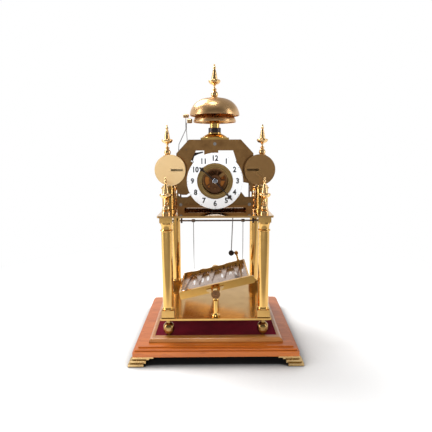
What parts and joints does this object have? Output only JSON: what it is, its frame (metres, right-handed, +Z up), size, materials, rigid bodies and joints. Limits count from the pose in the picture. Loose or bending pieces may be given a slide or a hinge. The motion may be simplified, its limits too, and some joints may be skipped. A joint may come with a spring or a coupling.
{
  "type": "rolling-ball skeleton clock",
  "caption": "Skeleton clock with a rolling-ball tilting table, turned corner columns, numeral ring, bells on top and a velvet-topped wooden plinth.",
  "frame": {"origin": "centre of the plinth's footprint, on the surface that it stands on", "axes": "+X to the right seen from the dial side, +Y to the back (the dial faces -Y), +Z up"},
  "size_m": [0.2638, 0.2436, 0.4588],
  "materials": {
    "plinth_wood": "polished, reddish brown",
    "velvet": "deep red velvet",
    "brass": "polished and lacquered",
    "aged_brass": "polished, darker tone",
    "silvered_brass": "silvered, satin",
    "steel": "blued or polished",
    "enamel": "white enamel with black numerals"
  },
  "bodies": {
    "clock_frame": {"ball_feet": "brass", "base_plate": "brass", "bell_bridge": "brass", "bell_collar": "steel", "bell_finial": "brass", "bell_large": "brass", "bell_small": "brass", "bell_stand": "brass", "bracket_feet": "brass", "column_base_blocks": "brass", "column_capitals": "brass", "columns": "brass", "corner_finials": "brass", "dial_backing": "brass", "dial_ring": "enamel", "drum_cover_left": "brass", "drum_cover_right": "brass", "drum_pillars": "brass", "front_plate": "aged_brass", "movement_pillars": "brass", "movement_screws": "steel", "pivot_posts": "brass", "plinth_case": "plinth_wood", "plinth_inner_frame": "plinth_wood", "rear_plate": "aged_brass", "release_cocks": "steel", "side_drum_left": "brass", "side_drum_right": "brass", "top_plate": "brass", "upper_finials": "brass", "velvet_panel": "velvet"},
    "table": {"table_tray": "aged_brass", "track_plate": "silvered_brass", "lane_guide": "silvered_brass", "table_trunnions": "brass", "drive_post": "brass"},
    "ball": {"steel_ball": "steel"},
    "rod": {"connecting_rod": "steel", "rod_knob": "steel"},
    "crank": {"crank_arbor": "steel"},
    "third": {"third_arbor": "brass"},
    "centre": {"centre_arbor": "brass"},
    "going_barrel": {"going_barrel": "aged_brass"},
    "minute": {"minute_hand": "steel", "cannon_pinion": "brass"},
    "hour": {"hour_hand": "steel", "hour_wheel": "brass"},
    "minute_wheel": {"minute_wheel": "brass"},
    "strike_barrel": {"strike_barrel": "aged_brass"},
    "pin_wheel": {"pin_wheel": "brass"},
    "warning": {"warning_wheel": "brass"},
    "fly": {"fly": "steel"},
    "hammer_large": {"hammer_large_bell": "steel"},
    "hammer_small": {"hammer_small_bell": "steel"},
    "detent": {"strike_detent": "steel"},
    "going_winding": {"going_winding_arbor": "steel"},
    "strike_winding": {"strike_winding_arbor": "steel"},
    "going_click": {"going_click": "steel"},
    "strike_click": {"strike_click": "steel"},
    "release": {"release_arbor": "steel"}
  },
  "joints": [
    {"name": "table_tilt", "type": "hinge", "parent": "clock_frame", "child": "table", "pos_m": [0, -0.0056, 0.099], "axis": [0, 1, 0], "range_deg": [0, 26.4]},
    {"name": "ball_roll", "type": "slide", "parent": "table", "child": "ball", "axis": [0.119, 0.9925, 0.0279], "range_m": [0, 0.0927]},
    {"name": "rod_hinge", "type": "hinge", "parent": "table", "child": "rod", "pos_m": [0.03903, 0.0479, 0.13404], "axis": [0, 1, 0], "range_deg": [-30.47, 0]},
    {"name": "crank_turn", "type": "hinge", "parent": "clock_frame", "child": "crank", "pos_m": [0.03701, -0.0056, 0.28501], "axis": [0, 1, 0], "range_deg": [0, 180.02]},
    {"name": "third_turn", "type": "hinge", "parent": "clock_frame", "child": "third", "pos_m": [0.01667, -0.0056, 0.28654], "axis": [0, 1, 0], "range_deg": [-24, 0]},
    {"name": "centre_turn", "type": "hinge", "parent": "clock_frame", "child": "centre", "pos_m": [0, -0.0056, 0.2728], "axis": [0, 1, 0], "range_deg": [0, 3]},
    {"name": "going_barrel_turn", "type": "hinge", "parent": "clock_frame", "child": "going_barrel", "pos_m": [0.02064, -0.0056, 0.25835], "axis": [0, 1, 0], "range_deg": [-0.50005, 0]},
    {"name": "minute_hand_turn", "type": "hinge", "parent": "clock_frame", "child": "minute", "pos_m": [0, -0.0056, 0.2728], "axis": [0, 1, 0], "continuous": true},
    {"name": "hour_hand_turn", "type": "hinge", "parent": "clock_frame", "child": "hour", "pos_m": [0, -0.0056, 0.2728], "axis": [0, 1, 0], "continuous": true},
    {"name": "minute_wheel_turn", "type": "hinge", "parent": "clock_frame", "child": "minute_wheel", "pos_m": [0, -0.0056, 0.2608], "axis": [0, 1, 0], "continuous": true},
    {"name": "pin_wheel_turn", "type": "hinge", "parent": "clock_frame", "child": "pin_wheel", "pos_m": [-0.03684, -0.0056, 0.27765], "axis": [0, 1, 0], "continuous": true},
    {"name": "strike_barrel_turn", "type": "hinge", "parent": "clock_frame", "child": "strike_barrel", "pos_m": [-0.02064, -0.0056, 0.25835], "axis": [0, 1, 0], "continuous": true},
    {"name": "warning_turn", "type": "hinge", "parent": "clock_frame", "child": "warning", "pos_m": [-0.0188, -0.0056, 0.28422], "axis": [0, 1, 0], "continuous": true},
    {"name": "fly_turn", "type": "hinge", "parent": "clock_frame", "child": "fly", "pos_m": [-0.0111, -0.0056, 0.29755], "axis": [0, 1, 0], "continuous": true},
    {"name": "hammer_large_swing", "type": "hinge", "parent": "clock_frame", "child": "hammer_large", "pos_m": [-0.0565, -0.0056, 0.3145], "axis": [0, -1, 0], "range_deg": [0, 12]},
    {"name": "hammer_small_swing", "type": "hinge", "parent": "clock_frame", "child": "hammer_small", "pos_m": [-0.0455, -0.0056, 0.322], "axis": [0, -1, 0], "range_deg": [0, 12]},
    {"name": "detent_lift", "type": "hinge", "parent": "clock_frame", "child": "detent", "pos_m": [-0.038, -0.0056, 0.315], "axis": [0, -1, 0], "range_deg": [0, 8]},
    {"name": "going_winding_turn", "type": "hinge", "parent": "clock_frame", "child": "going_winding", "pos_m": [0.02064, -0.0056, 0.25835], "axis": [0, 1, 0], "continuous": true},
    {"name": "strike_winding_turn", "type": "hinge", "parent": "clock_frame", "child": "strike_winding", "pos_m": [-0.02064, -0.0056, 0.25835], "axis": [0, 1, 0], "continuous": true},
    {"name": "going_click_lift", "type": "hinge", "parent": "clock_frame", "child": "going_click", "pos_m": [0.03464, -0.0056, 0.26535], "axis": [0, 1, 0], "range_deg": [0, 12]},
    {"name": "strike_click_lift", "type": "hinge", "parent": "clock_frame", "child": "strike_click", "pos_m": [-0.03464, -0.0056, 0.26535], "axis": [0, -1, 0], "range_deg": [0, 12]},
    {"name": "release_swing", "type": "hinge", "parent": "clock_frame", "child": "release", "pos_m": [0, 0.0549, 0.193], "axis": [1, 0, 0], "range_deg": [-2, 8]}
  ],
  "couplings": [
    {"joint": "rod_hinge", "follows": "table_tilt", "ratio": -1.1539},
    {"joint": "crank_turn", "follows": "table_tilt", "ratio": 6.8182},
    {"joint": "third_turn", "follows": "table_tilt", "ratio": -0.90909},
    {"joint": "centre_turn", "follows": "table_tilt", "ratio": 0.11364},
    {"joint": "going_barrel_turn", "follows": "table_tilt", "ratio": -0.018939},
    {"joint": "hour_hand_turn", "follows": "minute_hand_turn", "ratio": 0.083333},
    {"joint": "minute_wheel_turn", "follows": "minute_hand_turn", "ratio": -0.33333},
    {"joint": "strike_barrel_turn", "follows": "pin_wheel_turn", "ratio": -0.16667},
    {"joint": "warning_turn", "follows": "pin_wheel_turn", "ratio": -7},
    {"joint": "fly_turn", "follows": "pin_wheel_turn", "ratio": 42}
  ]
}
